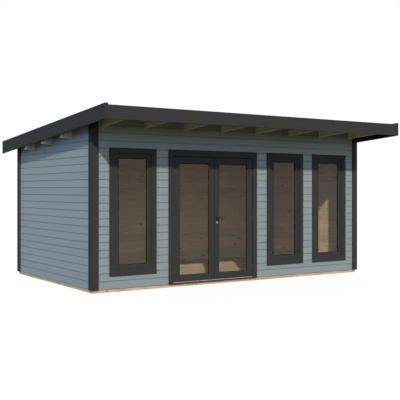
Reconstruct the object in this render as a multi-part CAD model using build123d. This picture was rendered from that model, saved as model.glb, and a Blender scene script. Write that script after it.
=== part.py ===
"""Garden house with a low lean-to roof, glazed double doors and three tall windows.

Millimetres.  X runs along the front from left to right, Y from the front to the
back and Z up.  The origin is on the ground, under the middle of the roof.
"""
import os
from math import radians, tan

from build123d import *

# Walls: outside faces from front to back, plank thickness
wall_depth = 3075
wall_thickness = 44

# Base: bearers under the walls, joists between them, boarded floor
bearer_height = 45
bearer_width = 70
bearer_setback = 8
joist_width = 45
joist_count = 7
floor_thickness = 19
floor_gap = 4

# Roof: overhangs from the wall faces, layers and timbers
front_overhang = 827
side_overhang = 207
back_overhang = 269
roof_pitch = 4.0
covering_thickness = 3.5
deck_thickness = 18
rafter_width = 45
rafter_height = 135
rafter_count = 8
rafter_end_inset = 172
rafter_notch = 42
purlin_width = 70
purlin_height = 120
purlin_count = 3
fascia_thickness = 20
front_fascia_height = 186
back_fascia_height = 68
verge_thickness = 22
verge_height = 191
verge_strip_width = 50
verge_strip_height = 28
front_strip_width = 45
front_strip_height = 6
strip_joint = 2

# Corner trims: two boards in an L
trim_thickness = 20
trim_front_width = 110
trim_side_width = 120

# Openings in the front wall, in one row: window, door, window, window.  The row with a
# margin at each end sets the length of the wall, and the lintel over it sets the roof's height.
opening_spacing = 217
row_margin = 267
lintel_height = 302
casing_thickness = 20
casing_width = 82
casing_cover = 45
window_casing_width = 785
window_casing_height = 1878
window_casing_bottom = 234
door_casing_width = 1690
door_head_casing = 98

# Windows: fixed sashes in the wall openings
sash_depth = 60
sash_face = 112
glass_thickness = 4
glass_setback = 18
glass_rebate = 12
sight_bevel = 9

# Double door: frame with a stop behind the leaves, leaves that open outward
jamb_width = 43
frame_depth = 60
stop_width = 14
stop_clearance = 6
leaf_clearance = 6
leaf_meeting_gap = 8
leaf_thickness = 40
leaf_proud = 8
hinge_stile = 106
meeting_stile = 92
top_rail = 105
bottom_rail = 100
sill_strip_height = 6
sill_strip_width = 52
sill_weathering = 5

# Hinges: a barrel in two halves, one wing on the leaf and one on the frame
barrel_radius = 6.5
barrel_half_length = 38
barrel_joint = 0.4
barrel_chamfer = 2.5
wing_thickness = 3
wing_reach = 34
frame_wing_thickness = 6
hinge_from_bottom = 150
hinge_from_top = 250

# Handle and lock on the right leaf, one of each on both faces
handle_height = 1045
lock_drop = 72
rose_radius = 26
rose_thickness = 7
rose_chamfer = 2.5
lever_radius = 9
lever_stand_off = 48
lever_bend = 20
lever_length = 118
escutcheon_radius = 17
escutcheon_thickness = 6
escutcheon_chamfer = 2
cylinder_radius = 8.5
cylinder_proud = 4

# One overrun for every cut
overrun = 10

# The row of openings is centred on the front wall
row_length = 3 * window_casing_width + door_casing_width + 3 * opening_spacing
window_step = window_casing_width + opening_spacing
window_1_x = (window_casing_width - row_length) / 2
door_x = (row_length - door_casing_width) / 2 - 2 * window_step
window_2_x = (row_length - window_casing_width) / 2 - window_step
window_3_x = (row_length - window_casing_width) / 2
window_xs = [window_1_x, window_2_x, window_3_x]
window_z = window_casing_bottom + window_casing_height / 2
window_opening_width = window_casing_width - 2 * casing_cover
window_opening_height = window_casing_height - 2 * casing_cover
casing_top = window_casing_bottom + window_casing_height

# Places of walls and roof edges
fall = tan(radians(roof_pitch))
wall_x = row_length / 2 + row_margin
roof_x = wall_x + side_overhang
roof_front_y = -(front_overhang + wall_depth + back_overhang) / 2
roof_back_y = -roof_front_y
wall_front_y = roof_front_y + front_overhang
wall_back_y = wall_front_y + wall_depth
inner_x = wall_x - wall_thickness
inner_front_y = wall_front_y + wall_thickness
inner_back_y = wall_back_y - wall_thickness
floor_top = bearer_height + floor_thickness

# Depths of the roof layers under the roof surface, and its height at the front edge
deck_top_depth = covering_thickness
deck_bottom_depth = covering_thickness + deck_thickness
rafter_bottom_depth = deck_bottom_depth + rafter_height
purlin_top_depth = rafter_bottom_depth - rafter_notch
purlin_bottom_depth = purlin_top_depth + purlin_height
roof_front_height = casing_top + lintel_height + rafter_bottom_depth + front_overhang * fall
rafter_spacing = 2 * (wall_x - rafter_end_inset) / (rafter_count - 1)
purlin_spacing = wall_depth / (purlin_count + 1)

# The door opening, the frame in it and the two leaves
frame_overlap = casing_width - casing_cover
door_opening_width = door_casing_width - 2 * casing_cover
door_opening_top = casing_top - door_head_casing + frame_overlap
door_clear_width = door_opening_width - 2 * jamb_width
door_clear_top = door_opening_top - jamb_width
leaf_width = (door_clear_width - 2 * leaf_clearance - leaf_meeting_gap) / 2
leaf_bottom = floor_top + sill_strip_height + leaf_clearance
leaf_top = door_clear_top - leaf_clearance
leaf_front_y = wall_front_y - leaf_proud
leaf_back_y = leaf_front_y + leaf_thickness
hinge_x = leaf_meeting_gap / 2 + leaf_width + leaf_clearance / 2
hinge_y = leaf_front_y - barrel_radius
hinge_zs = [
    leaf_bottom + hinge_from_bottom,
    (leaf_bottom + leaf_top) / 2,
    leaf_top - hinge_from_top,
]
handle_x = leaf_meeting_gap / 2 + meeting_stile / 2


def block(x0, x1, y0, y1, z0, z1):
    """A box between two corners."""
    return Pos((x0 + x1) / 2, (y0 + y1) / 2, (z0 + z1) / 2) * Box(x1 - x0, y1 - y0, z1 - z0)


def side_profile(points, x0, x1):
    """An outline of (y, z) points drawn out along X."""
    outline = make_face(Polyline(*points, close=True))
    return extrude(Plane.YZ.offset(x0) * outline, amount=x1 - x0, dir=(1, 0, 0))


def plan_profile(points, z0, z1):
    """An outline of (x, y) points drawn out along Z."""
    outline = make_face(Polyline(*points, close=True))
    return extrude(Plane.XY.offset(z0) * outline, amount=z1 - z0, dir=(0, 0, 1))


def roof_z(y, depth):
    """Height of a roof layer that lies the given depth under the roof surface."""
    return roof_front_height - (y - roof_front_y) * fall - depth


def roof_layer(x0, x1, y0, y1, top_depth, bottom_depth):
    """A piece between two planes parallel to the roof surface, with upright ends."""
    points = [
        (y0, roof_z(y0, bottom_depth)),
        (y1, roof_z(y1, bottom_depth)),
        (y1, roof_z(y1, top_depth)),
        (y0, roof_z(y0, top_depth)),
    ]
    return side_profile(points, x0, x1)


def wall_slab(x0, x1, y0, y1, z0, top_depth):
    """A wall from a level bottom up to a plane parallel to the roof surface."""
    points = [(y0, z0), (y1, z0), (y1, roof_z(y1, top_depth)), (y0, roof_z(y0, top_depth))]
    return side_profile(points, x0, x1)


def rafter_centres():
    """Rafter places along the front, from left to right."""
    first = -rafter_spacing * (rafter_count - 1) / 2
    return [first + i * rafter_spacing for i in range(rafter_count)]


def purlin_fronts():
    """Front faces of the purlins, the middle one half way along the side wall."""
    first = (wall_front_y + wall_back_y - purlin_width - purlin_spacing * (purlin_count - 1)) / 2
    return [first + i * purlin_spacing for i in range(purlin_count)]


def make_base():
    """Bearers under the four walls, joists from front to back, and the floor."""
    out_x = wall_x - bearer_setback
    front = wall_front_y + bearer_setback
    back = wall_back_y - bearer_setback
    in_x = out_x - bearer_width
    in_front = front + bearer_width
    in_back = back - bearer_width
    left = block(-out_x, -in_x, in_front, in_back, 0, bearer_height)
    right = block(in_x, out_x, in_front, in_back, 0, bearer_height)
    pitch = 2 * in_x / (joist_count + 1)
    joists = []
    for i in range(joist_count):
        x = -in_x + (i + 1) * pitch
        joists.append(block(x - joist_width / 2, x + joist_width / 2, in_front, in_back, 0, bearer_height))
    floor_x = inner_x - floor_gap
    floor = block(
        -floor_x, floor_x, inner_front_y + floor_gap, inner_back_y - floor_gap, bearer_height, floor_top
    )
    return {
        "front_bearer": block(-out_x, out_x, front, in_front, 0, bearer_height),
        "back_bearer": block(-out_x, out_x, in_back, back, 0, bearer_height),
        "side_bearers": Compound(children=[left, right]),
        "floor_joists": Compound(children=joists),
        "floor": floor,
    }


def window_cut(x):
    """The hole in the wall for one window."""
    half_x = window_opening_width / 2
    half_z = window_opening_height / 2
    front = wall_front_y - overrun
    back = inner_front_y + overrun
    return block(x - half_x, x + half_x, front, back, window_z - half_z, window_z + half_z)


def make_walls():
    """Four plank walls; the front one is in three pieces round the doorway."""
    door_left = door_x - door_opening_width / 2
    door_right = door_x + door_opening_width / 2
    front = (wall_front_y, inner_front_y)
    back = (inner_back_y, wall_back_y)
    left_front = wall_slab(-wall_x, door_left, *front, bearer_height, rafter_bottom_depth)
    left_front -= window_cut(window_1_x)
    over_door = wall_slab(door_left, door_right, *front, door_opening_top, rafter_bottom_depth)
    right_front = wall_slab(door_right, wall_x, *front, bearer_height, rafter_bottom_depth)
    right_front -= window_cut(window_2_x)
    right_front -= window_cut(window_3_x)
    side = (inner_front_y, inner_back_y, bearer_height, purlin_bottom_depth)
    return {
        "front_wall_left": left_front,
        "front_wall_right": right_front,
        "front_wall_over_door": over_door,
        "left_wall": wall_slab(-wall_x, -inner_x, *side),
        "right_wall": wall_slab(inner_x, wall_x, *side),
        "back_wall": wall_slab(-wall_x, wall_x, *back, bearer_height, rafter_bottom_depth),
    }


def corner_trim(side, wall_y, outward):
    """An L of two boards on one corner, cut to the roof slope at the top.

    side is -1 for the left end and 1 for the right; outward is -1 at the front and 1 at the back.
    """
    out_x = side * (wall_x + trim_thickness)
    face_x = side * wall_x
    leg_x = out_x - side * trim_front_width
    out_y = wall_y + outward * trim_thickness
    leg_y = out_y - outward * trim_side_width
    points = [
        (out_x, out_y),
        (leg_x, out_y),
        (leg_x, wall_y),
        (face_x, wall_y),
        (face_x, leg_y),
        (out_x, leg_y),
    ]
    tall = plan_profile(points, bearer_height, roof_front_height)
    above = roof_layer(-roof_x, roof_x, roof_front_y, roof_back_y, -roof_front_height, deck_bottom_depth)
    return tall - above


def make_corner_trims():
    """The trims on the four corners, in a front pair and a back pair."""
    front = [corner_trim(side, wall_front_y, -1) for side in (-1, 1)]
    back = [corner_trim(side, wall_back_y, 1) for side in (-1, 1)]
    return {
        "front_corner_trims": Compound(children=front),
        "back_corner_trims": Compound(children=back),
    }


def sight_bevels(x, z, width, height, face_y):
    """A cutter that bevels the front edges round a pane."""
    spread = 2 * sight_bevel
    mouth = Plane.XZ.offset(-face_y) * Pos(x, z, 0) * Rectangle(width + spread, height + spread)
    throat = Plane.XZ.offset(-face_y - sight_bevel) * Pos(x, z, 0) * Rectangle(width, height)
    return loft([mouth, throat])


def ring(x, z, outer_width, outer_height, inner_width, inner_height, y0, y1):
    """A rectangular frame round a rectangular hole, centred on x and z."""
    outer_x = outer_width / 2
    outer_z = outer_height / 2
    inner_half = inner_width / 2
    inner_z = inner_height / 2
    outer = block(x - outer_x, x + outer_x, y0, y1, z - outer_z, z + outer_z)
    inner = block(x - inner_half, x + inner_half, y0 - overrun, y1 + overrun, z - inner_z, z + inner_z)
    return outer - inner


def make_windows():
    """Casing, sash and pane of each window."""
    parts = {}
    sight_width = window_opening_width - 2 * sash_face
    sight_height = window_opening_height - 2 * sash_face
    pane_width = sight_width + 2 * glass_rebate
    pane_height = sight_height + 2 * glass_rebate
    pane_y = wall_front_y + glass_setback
    for number, x in enumerate(window_xs, start=1):
        parts[f"window_{number}_casing"] = ring(
            x,
            window_z,
            window_casing_width,
            window_casing_height,
            window_casing_width - 2 * casing_width,
            window_casing_height - 2 * casing_width,
            wall_front_y - casing_thickness,
            wall_front_y,
        )
        pane = block(
            x - pane_width / 2,
            x + pane_width / 2,
            pane_y,
            pane_y + glass_thickness,
            window_z - pane_height / 2,
            window_z + pane_height / 2,
        )
        sash = ring(
            x,
            window_z,
            window_opening_width,
            window_opening_height,
            sight_width,
            sight_height,
            wall_front_y,
            wall_front_y + sash_depth,
        )
        sash -= sight_bevels(x, window_z, sight_width, sight_height, wall_front_y)
        parts[f"window_{number}_sash"] = sash - pane
        parts[f"window_{number}_glass"] = pane
    return parts


def portal(half_outer, half_inner, bottom, outer_top, inner_top, y0, y1):
    """Two posts and a head round the doorway."""
    outer = block(door_x - half_outer, door_x + half_outer, y0, y1, bottom, outer_top)
    inner = block(
        door_x - half_inner, door_x + half_inner, y0 - overrun, y1 + overrun, bottom - overrun, inner_top
    )
    return outer - inner


def make_door_frame():
    """Casing, rebated frame, sill and sill strip of the doorway."""
    half_opening = door_opening_width / 2
    half_clear = door_clear_width / 2
    casing = portal(
        door_casing_width / 2,
        door_casing_width / 2 - casing_width,
        bearer_height,
        casing_top,
        casing_top - door_head_casing,
        wall_front_y - casing_thickness,
        wall_front_y,
    )
    frame_back = wall_front_y + frame_depth
    jambs = portal(
        half_opening, half_clear, floor_top, door_opening_top, door_clear_top, wall_front_y, frame_back
    )
    stop = portal(
        half_clear,
        half_clear - stop_width,
        floor_top,
        door_clear_top,
        door_clear_top - stop_width,
        leaf_back_y + stop_clearance,
        frame_back,
    )
    sill = block(
        door_x - half_opening, door_x + half_opening, wall_front_y, inner_front_y, bearer_height, floor_top
    )
    nose_y = wall_front_y - casing_thickness
    nose = [
        (nose_y, bearer_height),
        (wall_front_y, bearer_height),
        (wall_front_y, floor_top),
        (leaf_front_y, floor_top),
        (nose_y, floor_top - sill_weathering),
    ]
    half_nose = door_casing_width / 2 - casing_width
    sill_nose = side_profile(nose, door_x - half_nose, door_x + half_nose)
    strip = block(
        door_x - half_clear,
        door_x + half_clear,
        leaf_front_y,
        leaf_front_y + sill_strip_width,
        floor_top,
        floor_top + sill_strip_height,
    )
    return {
        "door_casing": casing,
        "door_frame": jambs + stop - strip,
        "door_sill": sill + sill_nose,
        "door_sill_strip": strip - stop,
    }


def place_leaf(side, shape):
    """Puts a shape that is drawn for the right leaf on the leaf of the given side."""
    if side < 0:
        shape = mirror(shape, about=Plane.YZ)
    return Pos(door_x, 0, 0) * shape


def make_leaf(side):
    """Stiles and rails of one leaf as a rebated frame, and its pane."""
    x0 = leaf_meeting_gap / 2
    x1 = x0 + leaf_width
    sight_x0 = x0 + meeting_stile
    sight_x1 = x1 - hinge_stile
    sight_z0 = leaf_bottom + bottom_rail
    sight_z1 = leaf_top - top_rail
    pane_y = leaf_front_y + glass_setback
    pane = block(
        sight_x0 - glass_rebate,
        sight_x1 + glass_rebate,
        pane_y,
        pane_y + glass_thickness,
        sight_z0 - glass_rebate,
        sight_z1 + glass_rebate,
    )
    leaf = block(x0, x1, leaf_front_y, leaf_back_y, leaf_bottom, leaf_top)
    leaf -= block(sight_x0, sight_x1, leaf_front_y - overrun, leaf_back_y + overrun, sight_z0, sight_z1)
    leaf -= sight_bevels(
        (sight_x0 + sight_x1) / 2,
        (sight_z0 + sight_z1) / 2,
        sight_x1 - sight_x0,
        sight_z1 - sight_z0,
        leaf_front_y,
    )
    return place_leaf(side, leaf - pane), place_leaf(side, pane)


def hinge_barrel(z, up):
    """Half a hinge barrel on the hinge line, with its free end bevelled; up is 1 or -1."""
    points = [
        (0, 0),
        (barrel_radius, 0),
        (barrel_radius, barrel_half_length - barrel_chamfer),
        (barrel_radius - barrel_chamfer, barrel_half_length),
        (0, barrel_half_length),
    ]
    outline = Plane.XZ * make_face(Polyline(*points, close=True))
    half = revolve(outline, axis=Axis.Z)
    if up < 0:
        half = mirror(half, about=Plane.XY)
    return Pos(hinge_x, hinge_y, z) * half


def make_hinges(side):
    """Leaf halves and frame halves of the three hinges of one leaf."""
    leaf_halves = []
    frame_halves = []
    wing_x = hinge_x + leaf_clearance / 2
    for z in hinge_zs:
        upper = z + barrel_joint
        top = upper + barrel_half_length - barrel_chamfer
        wing = block(hinge_x - wing_reach, hinge_x, leaf_front_y - wing_thickness, leaf_front_y, upper, top)
        leaf_halves.append(place_leaf(side, hinge_barrel(upper, 1) + wing))
        bottom = z - barrel_half_length + barrel_chamfer
        back_wing = block(wing_x, wing_x + frame_wing_thickness, hinge_y, wall_front_y, bottom, z)
        frame_halves.append(place_leaf(side, hinge_barrel(z, -1) + back_wing))
    return leaf_halves, frame_halves


def turned(points):
    """An outline of (radius, distance) points turned about the Y axis."""
    return revolve(make_face(Polyline(*points, close=True)), axis=Axis.Y)


def set_on_face(shape, z, face_y, outward):
    """Puts a fitting that is drawn along +Y on one face of the right leaf, over its meeting stile."""
    if outward < 0:
        shape = mirror(shape, about=Plane.XZ)
    return place_leaf(1, Pos(handle_x, face_y, z) * shape)


def make_handle(face_y, outward):
    """Rose and bent lever on one face of the right leaf."""
    rose = turned(
        [
            (0, 0),
            (rose_radius, 0),
            (rose_radius, rose_thickness - rose_chamfer),
            (rose_radius - rose_chamfer, rose_thickness),
            (0, rose_thickness),
        ]
    )
    corner = (0, lever_stand_off, 0)
    tip = (lever_length, lever_stand_off, 0)
    route = FilletPolyline((0, 0, 0), corner, tip, radius=lever_bend)
    lever = sweep(Plane.XZ * Circle(lever_radius), path=route)
    return set_on_face(rose + lever, handle_height, face_y, outward)


def make_lock(face_y, outward):
    """Escutcheon and cylinder end under the handle on one face of the right leaf."""
    end = escutcheon_thickness + cylinder_proud
    fitting = turned(
        [
            (0, 0),
            (escutcheon_radius, 0),
            (escutcheon_radius, escutcheon_thickness - escutcheon_chamfer),
            (escutcheon_radius - escutcheon_chamfer, escutcheon_thickness),
            (cylinder_radius, escutcheon_thickness),
            (cylinder_radius, end),
            (0, end),
        ]
    )
    return set_on_face(fitting, handle_height - lock_drop, face_y, outward)


def make_doors():
    """The two leaves with panes, hinges, handle and lock."""
    left_leaf, left_glass = make_leaf(-1)
    right_leaf, right_glass = make_leaf(1)
    left_halves, left_fixed = make_hinges(-1)
    right_halves, right_fixed = make_hinges(1)
    faces = [(leaf_front_y, -1), (leaf_back_y, 1)]
    return {
        "left_door_leaf": left_leaf,
        "left_door_glass": left_glass,
        "left_door_hinges": Compound(children=left_halves),
        "right_door_leaf": right_leaf,
        "right_door_glass": right_glass,
        "right_door_hinges": Compound(children=right_halves),
        "frame_hinges": Compound(children=left_fixed + right_fixed),
        "door_handles": Compound(children=[make_handle(*face) for face in faces]),
        "door_locks": Compound(children=[make_lock(*face) for face in faces]),
    }


def make_purlins():
    """Purlins along the house, over the side walls and out to the verge boards."""
    reach = roof_x - verge_thickness
    return [
        roof_layer(-reach, reach, y, y + purlin_width, purlin_top_depth, purlin_bottom_depth)
        for y in purlin_fronts()
    ]


def make_rafters():
    """Rafters from fascia to fascia, notched over the purlins."""
    rafters = []
    for x in rafter_centres():
        x0 = x - rafter_width / 2
        x1 = x + rafter_width / 2
        rafter = roof_layer(
            x0,
            x1,
            roof_front_y + fascia_thickness,
            roof_back_y - fascia_thickness,
            deck_bottom_depth,
            rafter_bottom_depth,
        )
        for y in purlin_fronts():
            rafter -= roof_layer(
                x0 - overrun,
                x1 + overrun,
                y,
                y + purlin_width,
                purlin_top_depth,
                rafter_bottom_depth + overrun,
            )
        rafters.append(rafter)
    return rafters


def make_eave_blocking():
    """Closing pieces on the front and back walls, between the rafters."""
    edges = [-wall_x]
    for x in rafter_centres():
        edges += [x - rafter_width / 2, x + rafter_width / 2]
    edges.append(wall_x)
    pieces = []
    for y0, y1 in [(wall_front_y, inner_front_y), (inner_back_y, wall_back_y)]:
        for x0, x1 in zip(edges[0::2], edges[1::2]):
            pieces.append(roof_layer(x0, x1, y0, y1, deck_bottom_depth, rafter_bottom_depth))
    return pieces


def make_side_blocking():
    """Closing pieces on the side walls, between the purlins."""
    edges = [inner_front_y]
    for y in purlin_fronts():
        edges += [y, y + purlin_width]
    edges.append(inner_back_y)
    pieces = []
    for x0, x1 in [(-wall_x, -inner_x), (inner_x, wall_x)]:
        for y0, y1 in zip(edges[0::2], edges[1::2]):
            pieces.append(roof_layer(x0, x1, y0, y1, deck_bottom_depth, purlin_bottom_depth))
    return pieces


def make_roof():
    """Roof timbers, deck, covering, edge boards and edge strips."""
    deck_x = roof_x - verge_thickness
    deck_front = roof_front_y + fascia_thickness
    back_board_y = roof_back_y - fascia_thickness
    verges = []
    strips = []
    for x0, x1 in [(-roof_x, -deck_x), (deck_x, roof_x)]:
        verges.append(roof_layer(x0, x1, roof_front_y, roof_back_y, 0, verge_height))
    strip_x = roof_x - verge_strip_width
    for x0, x1 in [(-roof_x, -strip_x), (strip_x, roof_x)]:
        strips.append(roof_layer(x0, x1, roof_front_y, roof_back_y, -verge_strip_height, 0))
    front_x = strip_x - strip_joint
    strips.append(
        roof_layer(-front_x, front_x, roof_front_y, roof_front_y + front_strip_width, -front_strip_height, 0)
    )
    back_bottom = deck_bottom_depth + back_fascia_height
    return {
        "rafters": Compound(children=make_rafters()),
        "purlins": Compound(children=make_purlins()),
        "eave_blocking": Compound(children=make_eave_blocking()),
        "side_blocking": Compound(children=make_side_blocking()),
        "roof_deck": roof_layer(-deck_x, deck_x, deck_front, roof_back_y, deck_top_depth, deck_bottom_depth),
        "roof_covering": roof_layer(-deck_x, deck_x, deck_front, roof_back_y, 0, deck_top_depth),
        "front_fascia": roof_layer(-deck_x, deck_x, roof_front_y, deck_front, 0, front_fascia_height),
        "back_fascia": roof_layer(-deck_x, deck_x, back_board_y, roof_back_y, deck_bottom_depth, back_bottom),
        "verge_boards": Compound(children=verges),
        "roof_edge_strips": Compound(children=strips),
    }


def main():
    """Builds every piece and writes one STEP file for each node."""
    parts = {}
    stages = [make_base, make_walls, make_corner_trims, make_windows, make_door_frame, make_doors, make_roof]
    for make in stages:
        parts.update(make())
    os.makedirs("parts", exist_ok=True)
    for node, shape in parts.items():
        export_step(shape, f"parts/{node}.step")


main()
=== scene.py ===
"""Looks of the garden house: planks, boards, glazing, ironwork, roof and studio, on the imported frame."""

from __future__ import annotations

import logging
import math
from dataclasses import dataclass
from enum import Enum
from functools import cached_property, partial
from typing import Any, Callable, Iterable, Sequence

import bpy
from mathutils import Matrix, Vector

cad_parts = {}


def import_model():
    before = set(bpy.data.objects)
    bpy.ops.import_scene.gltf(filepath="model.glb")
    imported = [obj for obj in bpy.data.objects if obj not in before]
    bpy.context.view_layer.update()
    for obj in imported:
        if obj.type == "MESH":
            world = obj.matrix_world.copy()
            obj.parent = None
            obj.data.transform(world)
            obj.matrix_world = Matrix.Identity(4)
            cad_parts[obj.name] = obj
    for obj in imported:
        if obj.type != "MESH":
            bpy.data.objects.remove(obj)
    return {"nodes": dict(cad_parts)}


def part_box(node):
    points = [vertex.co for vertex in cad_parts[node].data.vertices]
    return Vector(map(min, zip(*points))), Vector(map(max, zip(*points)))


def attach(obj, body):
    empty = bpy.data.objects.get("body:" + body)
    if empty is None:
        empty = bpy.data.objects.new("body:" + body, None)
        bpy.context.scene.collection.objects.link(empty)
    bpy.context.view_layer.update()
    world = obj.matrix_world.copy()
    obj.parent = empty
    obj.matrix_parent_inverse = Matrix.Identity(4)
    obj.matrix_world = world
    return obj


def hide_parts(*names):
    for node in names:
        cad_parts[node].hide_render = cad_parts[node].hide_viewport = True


LOG = logging.getLogger("garden_house")
NEAR = 2e-5  # two places nearer than this, in metres, are one
ALIKE = 0.999  # two directions whose cosine is more than this are one
FLAT = math.radians(0.5)  # faces that meet at less than this are one
SHARP = math.radians(40)  # edges sharper than this are rounded
COURSE = 0.114  # height of one plank of a wall
FIRST_COURSE = 0.045  # where the lowest plank starts
FLOOR_BOARD = 0.121  # width of one floor board
DECK_BOARD = 0.096  # width of one deck board
RAFTER_STEP = 0.698  # from one rafter to the next

Place = Sequence[float]
Pair = tuple[float, float]
Colour = tuple[float, float, float]
EdgeTest = Callable[[Vector, Vector], bool]
PointTest = Callable[[Vector], bool]

WHITE: Colour = (1.0, 1.0, 1.0)


class Axis(Enum):
    """The three directions of the frame."""

    X = 0
    Y = 1
    Z = 2

    @property
    def unit(self) -> Vector:
        """A step of one metre in this direction."""
        return Vector([1.0 if i == self.value else 0.0 for i in range(3)])

    @property
    def letter(self) -> str:
        """The direction's small letter, for names."""
        return self.name.lower()


class Slot(Enum):
    """The record's material slots."""

    NATURAL = "natural_wood"
    WALL = "wall_paint"
    TRIM = "trim_paint"
    ROOFING = "roofing"
    STEEL = "steel"
    ALUMINIUM = "aluminium"
    HANDLE = "handle_metal"


class Body(Enum):
    """What a piece moves with."""

    HOUSE = "house"
    LEFT_LEAF = "left_leaf"
    RIGHT_LEAF = "right_leaf"


class Pick(Enum):
    """What an edit selects."""

    POINTS = "VERT"
    EDGES = "EDGE"
    FACES = "FACE"


# Shaping by hand


class Solid:
    """A mesh that is shaped step by step, with its place in its points."""

    def __init__(self, obj: bpy.types.Object) -> None:
        """Takes over a mesh object that sits at the origin."""
        self.obj = obj

    @staticmethod
    def _only(obj: bpy.types.Object) -> None:
        """Leaves one object selected and active.

        Args:
            obj: The object.
        """
        bpy.ops.object.select_all(action="DESELECT")
        obj.select_set(True)
        bpy.context.view_layer.objects.active = obj

    @classmethod
    def _started(cls, name: str, size: Place = (1.0, 1.0, 1.0)) -> Solid:
        """Names the primitive that was just added and puts its place into its points.

        Args:
            name: The object's name.
            size: The lengths to stretch a unit primitive to.

        Returns:
            The primitive, ready to be shaped.
        """
        obj = bpy.context.active_object
        obj.name = obj.data.name = name
        obj.scale = size
        bpy.ops.object.transform_apply(location=True, rotation=True, scale=True)
        return cls(obj)

    @classmethod
    def block(cls, name: str, corner: Place, other: Place) -> Solid:
        """A block between two opposite corners, to be shaped further.

        Args:
            name: The object's name.
            corner: One corner.
            other: The opposite corner.

        Returns:
            The block.
        """
        low, high = (Vector(ends) for ends in zip(*map(sorted, zip(corner, other))))
        bpy.ops.object.select_all(action="DESELECT")
        bpy.ops.mesh.primitive_cube_add(size=1.0, location=(low + high) / 2)
        return cls._started(name, high - low)

    @classmethod
    def disc(cls, name: str, centre: Place, radius: float, sides: int) -> Solid:
        """A round face that looks along Y, the start of a turned or swept piece.

        Args:
            name: The object's name.
            centre: Its middle.
            radius: Its radius.
            sides: How many edges go round it.

        Returns:
            The face.
        """
        bpy.ops.object.select_all(action="DESELECT")
        bpy.ops.mesh.primitive_circle_add(
            vertices=sides,
            radius=radius,
            fill_type="NGON",
            location=centre,
            rotation=(math.pi / 2, 0.0, 0.0),
        )
        return cls._started(name)

    @classmethod
    def from_node(cls, name: str, node: str) -> Solid:
        """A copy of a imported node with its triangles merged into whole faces.

        Args:
            name: The object's name.
            node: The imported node.

        Returns:
            The copy.
        """
        obj = bpy.data.objects.new(name, FRAME["nodes"][node].data.copy())
        obj.data.name = name
        obj.data.materials.clear()
        bpy.context.scene.collection.objects.link(obj)
        cls._only(obj)
        if obj.data.has_custom_normals:
            bpy.ops.mesh.customdata_custom_splitnormals_clear()
        merge = partial(bpy.ops.mesh.remove_doubles, threshold=NEAR)
        flatten = partial(bpy.ops.mesh.dissolve_limited, angle_limit=FLAT)
        return cls(obj)._edit(Pick.POINTS, None, merge, flatten)

    @classmethod
    def eased(cls, name: str, node: str, edge: float, finish: bpy.types.Material) -> Solid:
        """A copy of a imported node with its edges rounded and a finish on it."""
        return cls.from_node(name, node).ease(edge).dress(finish)

    @classmethod
    def joined(cls, name: str, parts: Sequence[Solid]) -> Solid:
        """Several solids as one piece.

        Args:
            name: The piece's name.
            parts: The solids.

        Returns:
            The piece.
        """
        obj = parts[0].obj
        cls._only(obj)
        for part in parts[1:]:
            part.obj.select_set(True)
        if len(parts) > 1:
            bpy.ops.object.join()
        obj.name = obj.data.name = name
        return cls(obj)

    def copy(self, name: str, by: Place) -> Solid:
        """A copy with a mesh of its own, moved by a step.

        Args:
            name: The copy's name.
            by: The step.

        Returns:
            The copy.
        """
        obj = bpy.data.objects.new(name, self.obj.data.copy())
        bpy.context.scene.collection.objects.link(obj)
        return Solid(obj).shift(by)

    def edges(self, test: EdgeTest) -> list[int]:
        """Indices of the edges whose two ends pass the test."""
        points = self.obj.data.vertices
        return [e.index for e in self.obj.data.edges if test(*(points[i].co for i in e.vertices))]

    def points(self, test: PointTest) -> list[int]:
        """Indices of the points that pass the test."""
        return [v.index for v in self.obj.data.vertices if test(v.co)]

    def faces(self, towards: Place) -> list[int]:
        """Indices of the faces that look in one direction."""
        way = Vector(towards).normalized()
        return [f.index for f in self.obj.data.polygons if f.normal.dot(way) > ALIKE]

    def selected(self) -> list[int]:
        """Indices of the faces that the last step left selected."""
        return [f.index for f in self.obj.data.polygons if f.select]

    def _edit(self, kind: Pick, chosen: Iterable[int] | None, *steps: Callable[[], Any]) -> Solid:
        """Runs operators in edit mode on points, edges or faces.

        Args:
            kind: What is selected first.
            chosen: Which of them, by index, or None for all.
            *steps: The operators, with their settings.

        Returns:
            This solid, with what the last operator left selected.
        """
        self._only(self.obj)
        bpy.ops.object.mode_set(mode="EDIT")
        bpy.ops.mesh.select_mode(type=kind.value)
        bpy.ops.mesh.select_all(action="SELECT" if chosen is None else "DESELECT")
        if chosen is not None:
            bpy.ops.object.mode_set(mode="OBJECT")
            mesh = self.obj.data
            parts = {Pick.POINTS: mesh.vertices, Pick.EDGES: mesh.edges, Pick.FACES: mesh.polygons}[kind]
            for index in chosen:
                parts[index].select = True
            bpy.ops.object.mode_set(mode="EDIT")
        for step in steps:
            step()
        bpy.ops.object.mode_set(mode="OBJECT")
        return self

    def bevel(self, width: float, test: EdgeTest) -> Solid:
        """Cuts back the edges that pass a test, from a width beside them, with two faces."""
        chamfer = partial(bpy.ops.mesh.bevel, offset_type="OFFSET", offset=width, segments=2, affect="EDGES")
        return self._edit(Pick.EDGES, self.edges(test), chamfer)

    def shift(self, by: Place, test: PointTest | None = None) -> Solid:
        """Moves all points, or those that pass a test, by a step."""
        chosen = None if test is None else self.points(test)
        return self._edit(Pick.POINTS, chosen, partial(bpy.ops.transform.translate, value=by))

    def score(self, places: Iterable[float], across: Axis) -> Solid:
        """Draws edge lines round the solid.

        Args:
            places: Where the lines are, measured along across.
            across: The direction from one line to the next.

        Returns:
            This solid.
        """
        way = across.unit
        for place in places:
            self._edit(Pick.FACES, None, partial(bpy.ops.mesh.bisect, plane_co=way * place, plane_no=way))
        return self

    def cut(self, place: Place, normal: Place) -> Solid:
        """Saws off what lies in front of a plane and closes the cut."""
        saw = partial(bpy.ops.mesh.bisect, plane_co=place, plane_no=normal, use_fill=True, clear_outer=True)
        return self._edit(Pick.FACES, None, saw)

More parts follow.
